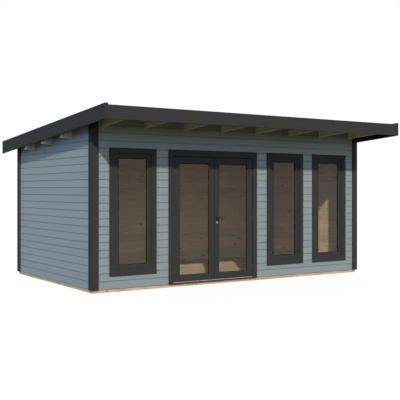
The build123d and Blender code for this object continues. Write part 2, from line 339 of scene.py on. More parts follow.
    def groove(self, lines: Sequence[float], across: Axis, on: PointTest, into: Place, half: float) -> Solid:
        """Cuts a V along each line of one face, where edge lines are already drawn.

        Args:
            lines: Where the grooves are, measured along across.
            across: The direction from one groove to the next.
            on: Which points lie on the grooved face.
            into: The step from that face to the bottom of a groove.
            half: Half a groove's width.

        Returns:
            This solid.
        """

        def on_line(point: Vector) -> bool:
            """Whether a point lies on the face and on one of the lines."""
            return on(point) and any(abs(point[across.value] - line) < NEAR for line in lines)

        self.bevel(half, lambda a, b: on_line(a) and on_line(b))
        return self.shift(into, on_line)

    def inset(self, chosen: Iterable[int], thickness: float, depth: float = 0.0) -> Solid:
        """Draws an outline inside faces and moves the inner faces, left selected, out by a depth."""
        return self._edit(Pick.FACES, chosen, partial(bpy.ops.mesh.inset, thickness=thickness, depth=depth))

    def extrude(self, chosen: Iterable[int], by: Place, grow: float = 1.0) -> Solid:
        """Pulls faces out by a step and makes their end, left selected, larger or smaller."""
        pull = partial(bpy.ops.mesh.extrude_region_move, TRANSFORM_OT_translate={"value": by})
        return self._edit(Pick.FACES, chosen, pull, partial(bpy.ops.transform.resize, value=(grow,) * 3))

    def spin(self, chosen: Iterable[int], angle: float, centre: Place, axis: Place, steps: int) -> Solid:
        """Sweeps faces round an axis by an angle in radians, and leaves the end selected."""
        sweep = partial(bpy.ops.mesh.spin, steps=steps, angle=angle, center=centre, axis=axis)
        return self._edit(Pick.FACES, chosen, sweep)

    def bridge(self, chosen: Iterable[int]) -> Solid:
        """Opens a way through between two faces."""
        return self._edit(Pick.FACES, chosen, bpy.ops.mesh.bridge_edge_loops)

    def outward(self) -> Solid:
        """Merges doubled points and turns all faces outwards."""
        merge = partial(bpy.ops.mesh.remove_doubles, threshold=NEAR / 10)
        return self._edit(Pick.FACES, None, merge, bpy.ops.mesh.normals_make_consistent)

    def modify(self, kind: str, **settings: Any) -> Solid:
        """Adds a modifier and applies it.

        Args:
            kind: The modifier's type.
            **settings: Its settings.

        Returns:
            This solid.
        """
        self._only(self.obj)
        modifier = self.obj.modifiers.new("step", kind)
        for name, value in settings.items():
            setattr(modifier, name, value)
        bpy.ops.object.modifier_apply(modifier=modifier.name)
        return self

    def ease(self, width: float) -> Solid:
        """Rounds every sharp edge a little, as a plane or sandpaper does."""
        return self.modify("BEVEL", width=width, segments=2, limit_method="ANGLE", angle_limit=SHARP)

    def minus(self, cutter: Solid) -> Solid:
        """Takes another solid out of this one.

        Args:
            cutter: The other solid, which is thrown away.

        Returns:
            This solid.
        """
        self.modify("BOOLEAN", operation="DIFFERENCE", solver="EXACT", object=cutter.obj)
        bpy.data.objects.remove(cutter.obj)
        return self

    def smooth(self, angle: float = 35.0) -> Solid:
        """Shades round faces as round.

        Args:
            angle: The sharpest edge that is shaded over, in degrees.

        Returns:
            This solid.
        """
        self._only(self.obj)
        bpy.ops.object.shade_smooth_by_angle(angle=math.radians(angle))
        return self

    def dress(self, finish: bpy.types.Material) -> Solid:
        """Gives every face one material.

        Args:
            finish: The material.

        Returns:
            This solid.
        """
        self.obj.data.materials.clear()
        self.obj.data.materials.append(finish)
        return self

    def line(self, finish: bpy.types.Material, inside: PointTest) -> Solid:
        """Gives the faces whose middles pass a test a second material.

        Args:
            finish: The second material.
            inside: Which faces, by their middle.

        Returns:
            This solid.
        """
        self.obj.data.materials.append(finish)
        last = len(self.obj.data.materials) - 1
        for face in self.obj.data.polygons:
            if inside(face.center):
                face.material_index = last
        return self

    def hand_over(self, body: Body, slot: Slot, *nodes: str) -> None:
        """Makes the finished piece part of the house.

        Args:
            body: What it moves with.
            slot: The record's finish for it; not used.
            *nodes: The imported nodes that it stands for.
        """
        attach(self.obj, body.value)
        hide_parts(*nodes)
        LOG.info("%s: %d faces", self.obj.name, len(self.obj.data.polygons))


def joints(low: float, high: float, pitch: float) -> list[float]:
    """Where boards of one width meet between two edges, none within a tenth of a board of an edge."""
    return [k * pitch for k in range(math.ceil(low / pitch + 0.1), math.ceil(high / pitch - 0.1))]


def ring(name: str, low: Place, high: Place, width: float, slope: float, out: float) -> Solid:
    """A closed frame in an upright plane, with a sloped edge towards its opening on one face.

    Args:
        name: The object's name.
        low: Lowest corner of the outside.
        high: Highest corner of the outside.
        width: How wide the frame is.
        slope: How much of that width slopes, as deep as it is wide.
        out: -1 if the sloped face looks to the front, 1 if it looks to the back.

    Returns:
        The frame.
    """
    frame = Solid.block(name, low, high)
    face = frame.faces((0, out, 0))
    if slope < width:
        face = frame.inset(face, width - slope).selected()
    face = frame.inset(face, slope, -slope).selected()
    middle = Vector(frame.obj.data.polygons[face[0]].center)
    back = frame.inset(frame.faces((0, -out, 0)), width).selected()
    sloped = [f.index for f in frame.obj.data.polygons if (f.center - middle).length < NEAR]
    return frame.bridge(sloped + back).outward()


# Shader nodes


class Value:
    """A number on a node's socket that arithmetic can be written with."""

    def __init__(self, graph: Graph, socket: bpy.types.NodeSocket | None) -> None:
        """Wraps one output socket."""
        self.graph = graph
        self.socket = socket

    def math(self, operation: str, *terms: Value | float) -> Value:
        """One Math node on this value and the terms after it."""
        return self.graph.node("ShaderNodeMath", {"operation": operation}, dict(enumerate((self, *terms))))

    def _behind(self, operation: str, first: float) -> Value:
        """One Math node with a plain number in front of this value."""
        return self.graph.node("ShaderNodeMath", {"operation": operation}, {0: first, 1: self})

    def __add__(self, other: Value | float) -> Value:
        """Sum."""
        return self.math("ADD", other)

    def __radd__(self, other: float) -> Value:
        """Sum with a number in front."""
        return self._behind("ADD", other)

    def __sub__(self, other: Value | float) -> Value:
        """Difference."""
        return self.math("SUBTRACT", other)

    def __rsub__(self, other: float) -> Value:
        """Difference from a number."""
        return self._behind("SUBTRACT", other)

    def __mul__(self, other: Value | float) -> Value:
        """Product."""
        return self.math("MULTIPLY", other)

    def __rmul__(self, other: float) -> Value:
        """Product with a number in front."""
        return self._behind("MULTIPLY", other)

    def __truediv__(self, other: Value | float) -> Value:
        """Quotient."""
        return self.math("DIVIDE", other)

    def __rtruediv__(self, other: float) -> Value:
        """Quotient of a number and this value."""
        return self._behind("DIVIDE", other)

    def __pow__(self, other: Value | float) -> Value:
        """Power."""
        return self.math("POWER", other)

    def __abs__(self) -> Value:
        """Size without sign."""
        return self.math("ABSOLUTE")

    def floor(self) -> Value:
        """The whole number at or below."""
        return self.math("FLOOR")

    def wave(self) -> Value:
        """A wave from 0 to 1."""
        return self.math("SINE") * 0.5 + 0.5

    def above(self, other: Value | float) -> Value:
        """1 where this is more than the other, else 0."""
        return self.math("GREATER_THAN", other)

    def at_least(self, other: Value | float) -> Value:
        """The larger of two."""
        return self.math("MAXIMUM", other)

    def fade(self, start: float, end: float) -> Value:
        """Goes smoothly from 0 at start to 1 at end, which may be the lower of the two.

        Args:
            start: Where it is 0.
            end: Where it is 1.

        Returns:
            The faded value.
        """
        (low, at_low), (high, at_high) = sorted(((start, 0.0), (end, 1.0)))
        sockets = {"Value": self, "From Min": low, "From Max": high, "To Min": at_low, "To Max": at_high}
        return self.graph.node("ShaderNodeMapRange", {"interpolation_type": "SMOOTHSTEP"}, sockets, "Result")


class Graph:
    """The node tree of one material or of the world."""

    def __init__(self, tree: bpy.types.NodeTree) -> None:
        """Empties a tree and takes it over."""
        self.tree = tree
        tree.nodes.clear()

    def node(
        self,
        kind: str,
        settings: dict[str, Any] | None = None,
        sockets: dict[str | int, Any] | None = None,
        out: str | int = 0,
    ) -> Value:
        """Adds one node.

        Args:
            kind: The node's type.
            settings: Its settings, set before the sockets.
            sockets: Values or links of its inputs, by name or number.
            out: Which output is wanted.

        Returns:
            That output.
        """
        made = self.tree.nodes.new(kind)
        for name, value in (settings or {}).items():
            setattr(made, name, value)
        for key, value in (sockets or {}).items():
            target = made.inputs[key]
            if isinstance(value, Value):
                self.tree.links.new(value.socket, target)
            elif target.type == "RGBA":
                target.default_value = (*value, 1.0)
            else:
                target.default_value = value
        return Value(self, made.outputs[out] if made.outputs else None)

    @cached_property
    def at(self) -> dict[Axis, Value]:
        """The point's place in the frame, one value for each direction."""
        coords = self.node("ShaderNodeTexCoord", out="Object")
        return {axis: self.part(coords, axis.value) for axis in Axis}

    def part(self, vector: Value, number: int) -> Value:
        """One of a vector's three numbers."""
        return self.node("ShaderNodeSeparateXYZ", {}, {0: vector}, number)

    def first(self, colour: Value) -> Value:
        """A colour's first number."""
        return self.node("ShaderNodeSeparateColor", {}, {0: colour}, 0)

    def vector(self, x: Value | float, y: Value | float, z: Value | float) -> Value:
        """Three values as one vector."""
        return self.node("ShaderNodeCombineXYZ", {}, {0: x, 1: y, 2: z})

    def spread(self, scale: float, along: Axis | None = None, drawn: float = 1.0) -> Value:
        """The point's place, scaled; one direction may have a scale of its own, to draw a pattern out."""
        return self.vector(*(self.at[axis] * (drawn if axis is along else scale) for axis in Axis))

    def noise(self, place: Value, detail: float, rough: float, twist: float = 0.0) -> Value:
        """Cloudy noise from 0 to 1.

        Args:
            place: Where it is read, already scaled.
            detail: How many finer layers it has.
            rough: How strong they are.
            twist: How much it is distorted.

        Returns:
            The noise.
        """
        sockets = {"Vector": place, "Scale": 1.0, "Detail": detail, "Roughness": rough, "Distortion": twist}
        return self.node("ShaderNodeTexNoise", {}, sockets, "Fac")

    def random(self, seed: Value) -> Value:
        """A random number from 0 to 1 for each seed."""
        return self.node("ShaderNodeTexWhiteNoise", {"noise_dimensions": "1D"}, {"W": seed}, "Value")

    def mix(self, share: Value, first: Value | Colour, second: Value | Colour) -> Value:
        """A colour between two: 0 gives the first, 1 the second."""
        return self.node("ShaderNodeMix", {"data_type": "RGBA"}, {0: share, 6: first, 7: second}, 2)

    def scaled(self, colour: Value | Colour, factor: Value) -> Value:
        """A colour made brighter or darker."""
        return self.node("ShaderNodeVectorMath", {"operation": "SCALE"}, {0: colour, "Scale": factor})

    def bump(self, height: Value, depth: float, strength: float) -> Value:
        """A normal from a height of 0 to 1, which is so many metres deep, and of which so much shows."""
        return self.node("ShaderNodeBump", {}, {"Height": height, "Distance": depth, "Strength": strength})

    def seen(self) -> Value:
        """Tells what is looked at from light that falls on the house.

        Returns:
            1 for what the camera, a mirror or glass looks at, else 0.
        """
        kinds = ("Is Camera Ray", "Is Glossy Ray", "Is Transmission Ray")
        camera, mirror, glass = (self.node("ShaderNodeLightPath", out=kind) for kind in kinds)
        return camera.at_least(mirror).at_least(glass)

    def surface(self, colour: Value, rough: Value, shine: float, normal: Value, metal: float = 0.0) -> None:
        """Shows an opaque surface.

        Args:
            colour: Its base colour.
            rough: Its roughness.
            shine: Its specular level.
            normal: Its normal.
            metal: 1 for bare metal.
        """
        sockets = {"Base Color": colour, "Roughness": rough, "Normal": normal}
        sockets |= {"Specular IOR Level": shine, "Metallic": metal}
        self.show(self.node("ShaderNodeBsdfPrincipled", {}, sockets))

    def show(self, shader: Value, output: str = "ShaderNodeOutputMaterial") -> None:
        """Puts a shader on the tree's output."""
        self.node(output, {}, {"Surface": shader})


# Finishes


@dataclass(frozen=True)
class Finish:
    """A material that is built from nodes."""

    name: str

    def shade(self, g: Graph) -> None:
        """Adds the finish's own nodes."""
        raise NotImplementedError

    def make(self) -> bpy.types.Material:
        """Builds the material.

        Returns:
            The material.
        """
        made = bpy.data.materials.new(self.name)
        made.use_nodes = True
        self.shade(Graph(made.node_tree))
        return made


@dataclass(frozen=True)
class WallPaint(Finish):
    """Grey-blue paint on planks: grain shows through, and each course differs a little."""

    along: Axis
    colour: Colour = (0.266, 0.301, 0.318)
    weathered: Colour = (0.2394, 0.29197, 0.3339)
    pitch: float = COURSE
    start: float = FIRST_COURSE
    dirt_and_shade_reach: Pair = (0.012, 0.001)
    splash_height: Pair = (0.42, 0.06)
    rough: float = 0.60
    shine: float = 0.10
    relief: Pair = (0.0007, 0.55)

    def shade(self, g: Graph) -> None:
        """Adds grain along the planks, a tone for each course, and dirt with painted shade in the joints.

        Args:
            g: The material's tree.
        """
        run, height = g.at[self.along], g.at[Axis.Z]
        row = (height - self.start) / self.pitch
        course = row.floor()
        own = g.random(course)
        slid = run + own * 7.0
        fibres = g.noise(g.vector(slid * 3.0, height * 260.0, own * 9.0), 4.0, 0.6)
        cloud = g.noise(g.vector(slid * 0.9, height * 12.0, own * 5.0), 3.0, 0.55, 0.4)
        # Darker near each plank joint: dirt, and painted shade for the shadow in the V-grooves.
        joint = (0.5 - abs(row - course - 0.5)) * self.pitch
        dirt_and_shade = joint.fade(*self.dirt_and_shade_reach)
        splash = height.fade(*self.splash_height)
        tone = 0.93 + own * 0.05 + (fibres - 0.5) * 0.09 + (cloud - 0.5) * 0.10
        tone = tone * (1.0 - dirt_and_shade * 0.32) * (1.0 - splash * cloud * 0.02)
        colour = g.scaled(g.mix(cloud * 0.35, self.colour, self.weathered), tone)
        rough = self.rough + (fibres - 0.5) * 0.22 + dirt_and_shade * 0.12
        g.surface(colour, rough, self.shine, g.bump(fibres * 0.7 + cloud * 0.3, *self.relief))


@dataclass(frozen=True)
class TrimPaint(Finish):
    """Anthracite paint on planed boards: fine grain along the board, slightly uneven sheen."""

    along: Axis
    colour: Colour = (0.0405, 0.0408, 0.0425)
    weathered: Colour = (0.04455, 0.042432, 0.04165)
    rough: float = 0.52
    shine: float = 0.004
    relief: Pair = (0.0005, 0.5)

    def shade(self, g: Graph) -> None:
        """Adds grain along the board and a soft cloud in tone and sheen.

        Args:
            g: The material's tree.
        """
        fibres = g.noise(g.spread(210.0, self.along, 3.0), 4.0, 0.6)
        cloud = g.noise(g.spread(16.0, self.along, 1.1), 3.0, 0.5, 0.5)
        colour = g.scaled(g.mix(cloud, self.colour, self.weathered), 0.86 + fibres * 0.16 + cloud * 0.14)
        rough = self.rough + (fibres - 0.5) * 0.26 + (cloud - 0.5) * 0.10
        g.surface(colour, rough, self.shine, g.bump(fibres, *self.relief))


@dataclass(frozen=True)
class BareWood(Finish):
    """Unpainted spruce: growth rings drawn out along the board, fibres, knots, and a tint for each board."""

    along: Axis
    across: Axis
    pitch: float
    start: float
    light: Colour
    dark: Colour
    knot_colour: Colour = (0.20, 0.095, 0.040)
    knot_spacing: float = 0.46
    knot_share: float = 0.45
    knot_reach: Pair = (0.014, 0.007)
    halo_reach: Pair = (0.021, 0.012)
    flow_reach: Pair = (0.055, 0.004)
    rough: float = 0.62
    shine: float = 0.15
    relief: Pair = (0.0006, 0.5)

    def shade(self, g: Graph) -> None:
        """Adds rings that flow round the knots, fibres and a tone for each board.

        Args:
            g: The material's tree.
        """
        third = next(axis for axis in Axis if axis not in (self.along, self.across))
        run, side, deep = g.at[self.along], g.at[self.across], g.at[third]
        row = (side - self.start) / self.pitch
        own = g.random(row.floor())
        slid = run + own * 11.0
        cell = slid / self.knot_spacing, row + own
        settings = {"voronoi_dimensions": "2D", "feature": "F1"}
        inputs = {"Vector": g.vector(*cell, 0.0), "Scale": 1.0, "Randomness": 0.8}
        centre = g.node("ShaderNodeTexVoronoi", settings, inputs, "Position")
        fate = g.node("ShaderNodeTexVoronoi", settings, inputs, "Color")
        along_knot = (cell[0] - g.part(centre, 0)) * self.knot_spacing
        over_knot = (cell[1] - g.part(centre, 1)) * self.pitch
        reach = (along_knot * along_knot * 0.30 + over_knot * over_knot) ** 0.5
        there = g.first(fate).above(1.0 - self.knot_share)
        reaches = self.knot_reach, self.halo_reach, self.flow_reach
        knot, halo, flow = (reach.fade(*ends) * there for ends in reaches)
        bent = side - over_knot * flow * 0.8
        fibres = g.noise(g.vector(slid * 4.0, bent * 330.0, deep * 330.0), 4.0, 0.6)
        field = g.noise(g.vector(slid * 0.45, bent * 7.0 + own * 4.0, deep * 7.0), 2.0, 0.4, 0.25)
        bands = (field * 95.0).wave()
        rings = bands * bands * 0.62 + fibres * 0.38
        wood = g.scaled(g.mix(rings, self.light, self.dark), 0.88 + own * 0.17 + (fibres - 0.5) * 0.12)
        stained = g.mix(halo * 0.45, wood, self.knot_colour)
        colour = g.mix(knot * (0.65 + fibres * 0.35), stained, self.knot_colour)
        rough = self.rough + (rings - 0.5) * 0.16 - knot * 0.18
        g.surface(colour, rough, self.shine, g.bump(fibres * 0.6 + bands * 0.4, *self.relief))


@dataclass(frozen=True)
class EndGrain(Finish):
    """The sawn ends of a row of beams: rings round a heart below the section, with fine checks."""

    across: Axis
    pitch: float
    start: float
    heart: Pair = (0.012, 2.09)
    light: Colour = (0.400, 0.365, 0.290)
    dark: Colour = (0.250, 0.218, 0.165)
    ring_rate: float = 1500.0
    check_level: Pair = (0.60, 0.72)
    rough: float = 0.78
    shine: float = 0.1
    relief: Pair = (0.0008, 0.5)

    def shade(self, g: Graph) -> None:
        """Adds rings and checks, with a heart of its own for each beam.

        Args:
            g: The material's tree.
        """
        side, height = g.at[self.across], g.at[Axis.Z]
        row = (side - self.start) / self.pitch
        beam = row.floor()
        own = g.random(beam)
        sideways = (row - beam - 0.5) * self.pitch - self.heart[0] - own * 0.03
        upright = height - self.heart[1]
        wobble = g.noise(g.vector(side * 30.0, height * 30.0, own * 9.0), 3.0, 0.5)
        reach = (sideways * sideways + upright * upright) ** 0.5 + wobble * 0.006
        rings = (reach * self.ring_rate).wave()
        checks = g.noise(g.vector(sideways * 420.0, upright * 30.0, own * 7.0), 3.0, 0.6)
        checks = checks.fade(*self.check_level)
        tone = (1.0 - checks * 0.45) * (0.9 + own * 0.2)
        colour = g.scaled(g.mix(rings, self.light, self.dark), tone)
        g.surface(colour, self.rough + rings * 0.1, self.shine, g.bump(rings * 0.5 - checks, *self.relief))


@dataclass(frozen=True)
class ClearPane(Finish):
    """Clear glass that lets the sun in; the face that is met first mirrors, more at a flat angle."""

    tint: Colour = (0.965, 0.975, 0.955)
    index: float = 1.45
    share: float = 0.90
    rough: float = 0.015

    def shade(self, g: Graph) -> None:
        """Mixes a mirror over a clear face.

        Args:
            g: The material's tree.
        """
        through = g.node("ShaderNodeBsdfTransparent", {}, {"Color": self.tint})
        mirror = g.node("ShaderNodeBsdfGlossy", {}, {"Color": WHITE, "Roughness": self.rough})
        leaving = g.node("ShaderNodeNewGeometry", out="Backfacing")
        part = g.node("ShaderNodeFresnel", {}, {"IOR": self.index}) * (1.0 - leaving) * self.share
        g.show(g.node("ShaderNodeMixShader", {}, {0: part, 1: through, 2: mirror}))


@dataclass(frozen=True)
class MineralFelt(Finish):
    """Roofing felt with a dark mineral face: fine chips, some paler, and faint streaks down the slope."""

    colour: Colour = (0.034, 0.035, 0.037)
    chip: Colour = (0.085, 0.087, 0.090)
    grain: float = 420.0
    pale_level: Pair = (0.55, 0.95)
    rough: float = 0.86
    shine: float = 0.25
    relief: Pair = (0.0012, 0.7)

    def shade(self, g: Graph) -> None:
        """Adds chips and streaks.

        Args:
            g: The material's tree.
        """
        inputs = {"Vector": g.spread(self.grain), "Scale": 1.0}
        chips = g.node("ShaderNodeTexVoronoi", {"feature": "F1"}, inputs, "Distance")
        pale = g.first(g.node("ShaderNodeTexVoronoi", {"feature": "F1"}, inputs, "Color"))
        wear = g.noise(g.vector(g.at[Axis.X] * 5.0, g.at[Axis.Y] * 0.7, g.at[Axis.Z]), 4.0, 0.6, 0.5)
        face = g.mix(pale.fade(*self.pale_level) * (0.35 + wear * 0.65), self.colour, self.chip)
        rough = self.rough + pale * 0.10 - wear * 0.06
        g.surface(g.scaled(face, 0.82 + wear * 0.36), rough, self.shine, g.bump(1.0 - chips, *self.relief))


@dataclass(frozen=True)
class Metal(Finish):
    """Bare or coated metal with fine brushing along one direction."""

    along: Axis
    colour: Colour
    rough: float
    metallic: float = 0.0
    shine: float = 0.5
    brushing: float = 0.16
    relief: Pair = (0.0001, 0.35)

    def shade(self, g: Graph) -> None:
        """Adds brushed lines and faint smudges.

        Args:
            g: The material's tree.
        """
        lines = g.noise(g.spread(2600.0, self.along, 25.0), 3.0, 0.6)
        smudge = g.noise(g.spread(60.0), 3.0, 0.5, 0.6)
        colour = g.scaled(self.colour, 0.90 + lines * 0.14 + smudge * 0.06)
        rough = self.rough + (lines - 0.5) * self.brushing + (smudge - 0.5) * 0.12
        g.surface(colour, rough, self.shine, g.bump(lines, *self.relief), self.metallic)


@dataclass(frozen=True)
class Seal(Finish):
    """Black rubber round the panes, a little dusty."""

    colour: Colour = (0.006, 0.006, 0.006)
    dust: Colour = (0.016, 0.015, 0.013)
    film_level: Pair = (0.45, 0.85)
    rough: float = 0.55
    shine: float = 0.03
    relief: Pair = (0.0003, 0.3)

    def shade(self, g: Graph) -> None:
        """Adds a film of dust.

        Args:
            g: The material's tree.
        """
        film = g.noise(g.spread(90.0), 4.0, 0.6)
        colour = g.mix(film.fade(*self.film_level) * 0.5, self.colour, self.dust)
        g.surface(colour, self.rough + film * 0.3, self.shine, g.bump(film, *self.relief))


@dataclass(frozen=True)
class StudioFloor(Finish):
    """A pale floor that takes the shadow, and looks nearly white."""

    colour: Colour = (0.145, 0.121, 0.050)
    glow: Colour = (0.875, 0.887, 0.945)

    def shade(self, g: Graph) -> None:
        """Adds the glow, for what looks at the floor, to a matte face.

        Args:
            g: The material's tree.
        """
        matte = g.node("ShaderNodeBsdfDiffuse", {}, {"Color": self.colour})
        glow = g.node("ShaderNodeEmission", {}, {"Color": self.glow, "Strength": g.seen()})
        g.show(g.node("ShaderNodeAddShader", {}, {0: matte, 1: glow}))


class Palette:
    """Every material of the house, built once."""

    def __init__(self) -> None:
        """Builds the materials."""
        self.wall = {axis: WallPaint(f"wall_paint_{axis.letter}", axis).make() for axis in (Axis.X, Axis.Y)}
        self.trim = {axis: TrimPaint(f"trim_paint_{axis.letter}", axis).make() for axis in Axis}
        self.woods()
        self.pane = ClearPane("clear_pane").make()
        self.felt = MineralFelt("mineral_felt").make()
        self.seal = Seal("pane_seal").make()
        self.coated = Metal("hinge_coating", Axis.Z, (0.040, 0.041, 0.042), 0.46, shine=0.12).make()
        self.bright = Metal("lock_steel", Axis.X, (0.36, 0.352, 0.338), 0.26, metallic=1.0).make()
        self.aluminium = Metal("sill_aluminium", Axis.X, (0.66, 0.645, 0.615), 0.40, metallic=1.0).make()
        self.black = Metal("rose_black", Axis.X, (0.006, 0.006, 0.006), 0.50, shine=0.08).make()
        self.dark = Metal("lever_grey", Axis.X, (0.036, 0.037, 0.039), 0.36, shine=0.30).make()

    def woods(self) -> None:
        """Builds the bare woods, each with its boards' width and start, a light tone and a dark one."""
        x, y, z = Axis
        planed = (0.655, 0.503, 0.340), (0.540, 0.372, 0.222)
        courses = z, COURSE, FIRST_COURSE
        self.inner = {
            run: BareWood(f"inner_planks_{run.letter}", run, *courses, *planed, knot_share=0.2).make()
            for run in (x, y)
        }
        self.floor = BareWood("floor_boards", x, y, FLOOR_BOARD, 0.0, *planed, rough=0.5).make()
        decking = (0.690, 0.625, 0.475), (0.530, 0.465, 0.330)
        self.deck = BareWood("deck_boards", x, y, DECK_BOARD, 0.0, *decking).make()
        beam = (0.695, 0.702, 0.640), (0.545, 0.545, 0.475)
        self.rafter = BareWood("rafter_wood", y, x, RAFTER_STEP, 0.0, *beam, knot_share=0.3).make()
        self.rafter_end = EndGrain("rafter_end", x, RAFTER_STEP, 0.0).make()
        self.purlin = BareWood("purlin_wood", x, y, 0.76875, -0.874, *beam, knot_share=0.3).make()
        sawn = (0.730, 0.500, 0.345), (0.515, 0.302, 0.168)
        self.bearer_x = BareWood("bearer_wood_x", x, y, 0.9, 0.0, *sawn, knot_share=0.3).make()
        # A darker copy of the sawn wood for the side bearers and the joists: painted shade.
        sawn_in_painted_shade = (0.598, 0.448, 0.285), (0.418, 0.270, 0.139)
        self.bearer_painted_shade_y = BareWood("bearer_wood_painted_shade_y", y, x, 0.642, 0.321, *sawn_in_painted_shade, knot_share=0.3).make()


# Sub-assemblies


@dataclass
class RoofSlope:
    """Where the roof's layers lie."""

    front_y: float = -2.0855
    front_top: float = 2.62833
    fall: float = 0.069927
    deck_top: float = 0.0035
    deck_bottom: float = 0.0215
    rafter_bottom: float = 0.1565
    purlin_bottom: float = 0.2345

    def height(self, y: float, depth: float) -> float:
        """Height of the layer that lies at a depth under the roof's surface."""
        return self.front_top - depth - self.fall * (y - self.front_y)

    def plane(self, depth: float) -> tuple[Vector, Vector]:
        """A point on such a layer and its upward normal."""
        return Vector((0.0, 0.0, self.height(0.0, depth))), Vector((0.0, self.fall, 1.0)).normalized()


@dataclass
class Base:
    """Bearers, joists and floor boards."""

    paint: Palette
    floor_pitch: float = FLOOR_BOARD
    joint_half: float = 0.002
    joint_depth: float = 0.0025
    edge: float = 0.003

    def timbers(self) -> None:
        """Bearers and joists with sanded edges."""
        woods = {
            "front_bearer": self.paint.bearer_x,
            "back_bearer": self.paint.bearer_x,
            "side_bearers": self.paint.bearer_painted_shade_y,
            "floor_joists": self.paint.bearer_painted_shade_y,
        }
        for node, wood in woods.items():
            Solid.eased(f"{node}_timber", node, self.edge, wood).hand_over(Body.HOUSE, Slot.NATURAL, node)

    def floor(self) -> None:
        """Floor boards with a fine V between each two."""
        low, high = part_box("floor")
        lines = joints(low.y, high.y, self.floor_pitch)
        boards = Solid.block("floor_boards", low, high).score(lines, Axis.Y)
        into = (0.0, 0.0, -self.joint_depth)
        boards.groove(lines, Axis.Y, lambda p: p.z > high.z - NEAR, into, self.joint_half)
        boards.dress(self.paint.floor).hand_over(Body.HOUSE, Slot.NATURAL, "floor")

    def build(self) -> None:
        """Builds the base."""
        self.timbers()
        self.floor()


@dataclass
class PlankWalls:
    """The four walls of level planks, painted outside and bare inside, with the openings cut out."""

    paint: Palette
    roof: RoofSlope
    pitch: float = COURSE
    start: float = FIRST_COURSE
    groove_half: float = 0.0065
    groove_depth: float = 0.0055
    overrun: float = 0.05
    inside_margin: float = 0.001

    def planked(self, name: str, low: Vector, high: Vector, through: Axis, side: int, depth: float) -> Solid:
        """A wall of planks with a V at each course, inside and outside, sawn off along the roof.

        Args:
            name: The piece's name.
            low: Lowest corner.
            high: Highest corner.
            through: The direction of its thickness.
            side: 1 if the outer face is the higher one in that direction, else -1.
            depth: How far under the roof's surface it ends.

        Returns:
            The wall.
        """
        wall = Solid.block(name, low, high + Axis.Z.unit * self.overrun)
        count = math.ceil((high.z + self.overrun - self.start) / self.pitch)
        lines = [self.start + self.pitch * k for k in range(1, count)]
        wall.score(lines, Axis.Z)
        axis = through.value
        for face, inward in ((low[axis], 1.0), (high[axis], -1.0)):
            into = through.unit * inward * self.groove_depth
            wall.groove(lines, Axis.Z, lambda p, at=face: abs(p[axis] - at) < NEAR, into, self.groove_half)
        middle = (low[axis] + high[axis]) / 2
        run = Axis.X if through is Axis.Y else Axis.Y
        wall.dress(self.paint.wall[run])
        wall.line(self.paint.inner[run], lambda p: (p[axis] - middle) * side < self.inside_margin)
        return wall.cut(*self.roof.plane(depth))

    def opening(self, node: str, down: float = 0.0) -> Solid:
        """A cutter with a node's outline, right through the wall and further down if that is wanted."""
        step = Axis.Y.unit * self.overrun
        return Solid.block("cutter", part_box(node)[0] - step - Axis.Z.unit * down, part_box(node)[1] + step)

    def front(self) -> None:
        """The front wall, with the door and the windows cut out."""
        low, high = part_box("front_wall_left")[0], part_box("front_wall_right")[1]
        wall = self.planked("front_wall_planks", low, high, Axis.Y, -1, self.roof.rafter_bottom)
        for number in (1, 2, 3):
            wall.minus(self.opening(f"window_{number}_sash"))
        wall.minus(self.opening("door_frame", self.overrun))
        wall.hand_over(Body.HOUSE, Slot.WALL, "front_wall_left", "front_wall_right", "front_wall_over_door")

    def others(self) -> None:
        """The back and side walls."""
        for node, through, side, depth in (
            ("back_wall", Axis.Y, 1, self.roof.rafter_bottom),
            ("left_wall", Axis.X, -1, self.roof.purlin_bottom),
            ("right_wall", Axis.X, 1, self.roof.purlin_bottom),
        ):
            wall = self.planked(f"{node}_planks", *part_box(node), through, side, depth)
            wall.hand_over(Body.HOUSE, Slot.WALL, node)

    def build(self) -> None:
        """Builds the walls."""
        self.front()
        self.others()


@dataclass
class CornerBoards:
    """Two upright boards in an L on each corner."""

    paint: Palette
    roof: RoofSlope
    thickness: float = 0.020
    front_width: float = 0.110
    side_width: float = 0.120
    edge: float = 0.0022
    joint: float = 0.0006
    overrun: float = 0.02

    def board(self, name: str, corner: Place, other: Place) -> Solid:
        """One upright board between two opposite corners, sawn off under the roof."""
        board = Solid.block(name, corner, other).cut(*self.roof.plane(self.roof.deck_bottom))
        return board.ease(self.edge).dress(self.paint.trim[Axis.Z])

    def build(self) -> None:
        """Builds the boards of the front and the back corners."""
        for end, face, inward in (("front", 0, 1), ("back", 1, -1)):
            node = f"{end}_corner_trims"
            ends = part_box(node)
            foot, top, y = ends[0].z, ends[1].z + self.overrun, ends[face].y
            behind = y + inward * self.thickness
            start, stop = behind + inward * self.joint, y + inward * self.side_width
            boards = []
            for x, side in ((ends[0].x, 1), (ends[1].x, -1)):
                wide, thick = x + side * self.front_width, x + side * self.thickness
                boards.append(self.board("corner_face", (x, y, foot), (wide, behind, top)))
                boards.append(self.board("corner_side", (x, start, foot), (thick, stop, top)))
            Solid.joined(f"{end}_corner_boards", boards).hand_over(Body.HOUSE, Slot.TRIM, node)


